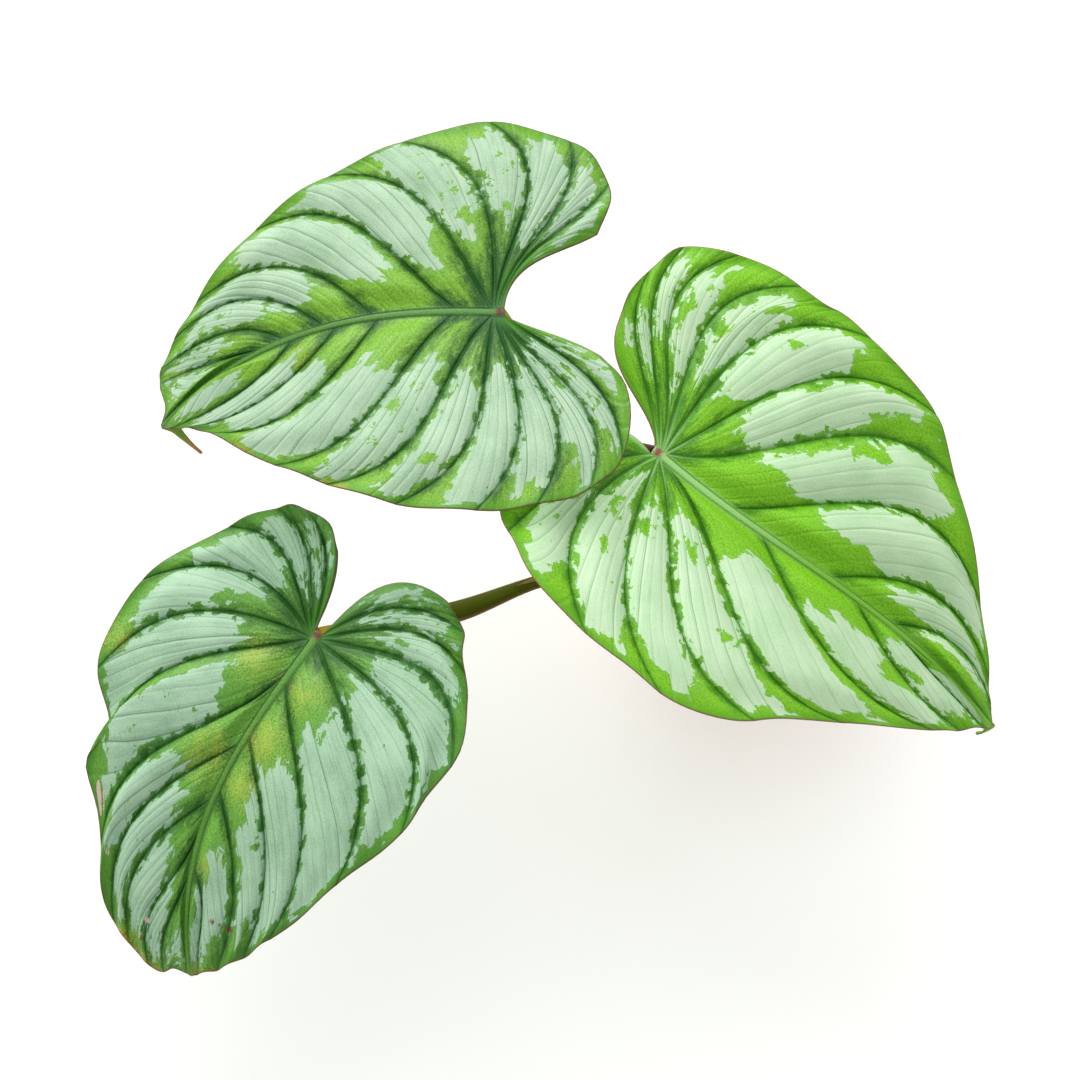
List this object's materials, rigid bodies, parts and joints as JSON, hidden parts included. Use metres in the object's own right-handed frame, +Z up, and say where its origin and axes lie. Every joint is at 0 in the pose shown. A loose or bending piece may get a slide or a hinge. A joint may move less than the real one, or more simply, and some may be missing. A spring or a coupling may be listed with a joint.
{
  "type": "potted foliage plant",
  "caption": "Potted philodendron mamei with quilted, silver-marked heart-shaped leaves on long stalks over a plain round clay pot of soil.",
  "frame": {"origin": "middle of the pot's underside, on the surface that the pot stands on", "axes": "+Z up along the pot's axis, +X to the right and +Y away from the viewer of the picture"},
  "size_m": [0.4433, 0.374, 0.3698],
  "materials": {
    "pot": "matt unglazed clay",
    "soil": "rough",
    "rhizome": "satin",
    "petiole": "satin",
    "bract": "dry matt",
    "leaf_1": "satin",
    "leaf_2": "satin",
    "leaf_3": "satin"
  },
  "bodies": {
    "root": {"pot": "pot", "soil": "soil", "rhizome": "rhizome", "petiole_1": "petiole", "petiole_2": "petiole", "petiole_3": "petiole", "bract_3": "bract", "leaf_1": "leaf_1", "leaf_2": "leaf_2", "leaf_3": "leaf_3"}
  },
  "joints": []
}
